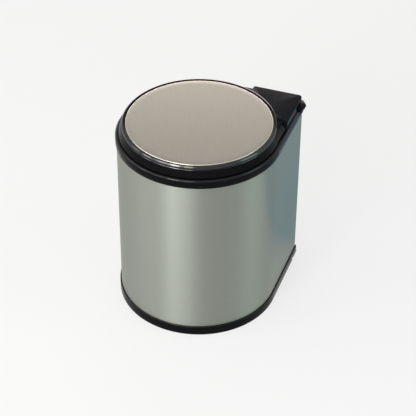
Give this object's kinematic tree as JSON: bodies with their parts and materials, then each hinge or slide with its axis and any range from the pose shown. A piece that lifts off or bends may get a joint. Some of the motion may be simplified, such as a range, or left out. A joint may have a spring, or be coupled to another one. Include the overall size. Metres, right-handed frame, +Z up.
{
  "type": "swing-out kitchen bin",
  "caption": "Round swing-out bin for a base cabinet, with a square pivot corner, wall bracket, cam-lifted lid, brushed steel wrap and a lift-out inner bucket.",
  "frame": {"origin": "on the axis of the round body, on the plane under the base", "axes": "+Z up along the body, +X out of the flat side that faces the cabinet door, +Y out of the flat side that faces the cabinet wall and the bracket"},
  "size_m": [0.2724, 0.2743, 0.3339],
  "materials": {
    "zinc_steel": "zinc plated, satin",
    "black_moulding": "moulded polypropylene, gloss",
    "black_lid": "moulded, fine texture on the cap, gloss bead",
    "acetal": "natural acetal, smooth",
    "bright_steel": "bright drawn steel",
    "brushed_wrap": "stainless steel, brushed round the body",
    "brushed_disc": "stainless steel, straight brushing",
    "rubber": "soft rubber",
    "grey_bucket": "polypropylene, fine matte",
    "grip_plastic": "moulded grip"
  },
  "bodies": {
    "bracket": {"wall_plate": "zinc_steel", "pivot_head": "black_moulding", "lift_cam": "acetal", "lower_arm": "zinc_steel", "upper_pivot_pin": "bright_steel", "pin_clip": "bright_steel", "lower_pivot_pin": "bright_steel", "bracket_rivets": "bright_steel", "head_screws": "bright_steel"},
    "bin": {"steel_shell": "brushed_wrap", "rim_collar": "black_moulding", "base_tray": "black_moulding", "upper_pivot_bush": "acetal", "lower_pivot_bush": "acetal", "lid_hinge_pin": "bright_steel", "lid_buffers": "rubber", "collar_rivets": "bright_steel"},
    "lid": {"lid_moulding": "black_lid", "lid_disc": "brushed_disc", "cam_follower": "acetal"},
    "bucket": {"inner_bucket": "grey_bucket"},
    "bail": {"bail_strap": "bright_steel", "bail_grip": "grip_plastic"}
  },
  "joints": [
    {"name": "bin_swing", "type": "hinge", "parent": "bracket", "child": "bin", "pos_m": [0.122, 0.122, 0.15], "axis": [0, 0, 1], "range_deg": [0, 95]},
    {"name": "lid_lift", "type": "hinge", "parent": "bin", "child": "lid", "pos_m": [0.0775, 0.128, 0.32], "axis": [-1, 0, 0], "range_deg": [0, 62]},
    {"name": "bucket_lift", "type": "slide", "parent": "bin", "child": "bucket", "axis": [0, 0, 1], "range_m": [0, 0.008]},
    {"name": "bail_raise", "type": "hinge", "parent": "bucket", "child": "bail", "pos_m": [0, 0, 0.301], "axis": [-1, 0, 0], "range_deg": [0, 7]}
  ],
  "couplings": [
    {"joint": "lid_lift", "follows": "bin_swing", "ratio": 0.6526}
  ]
}
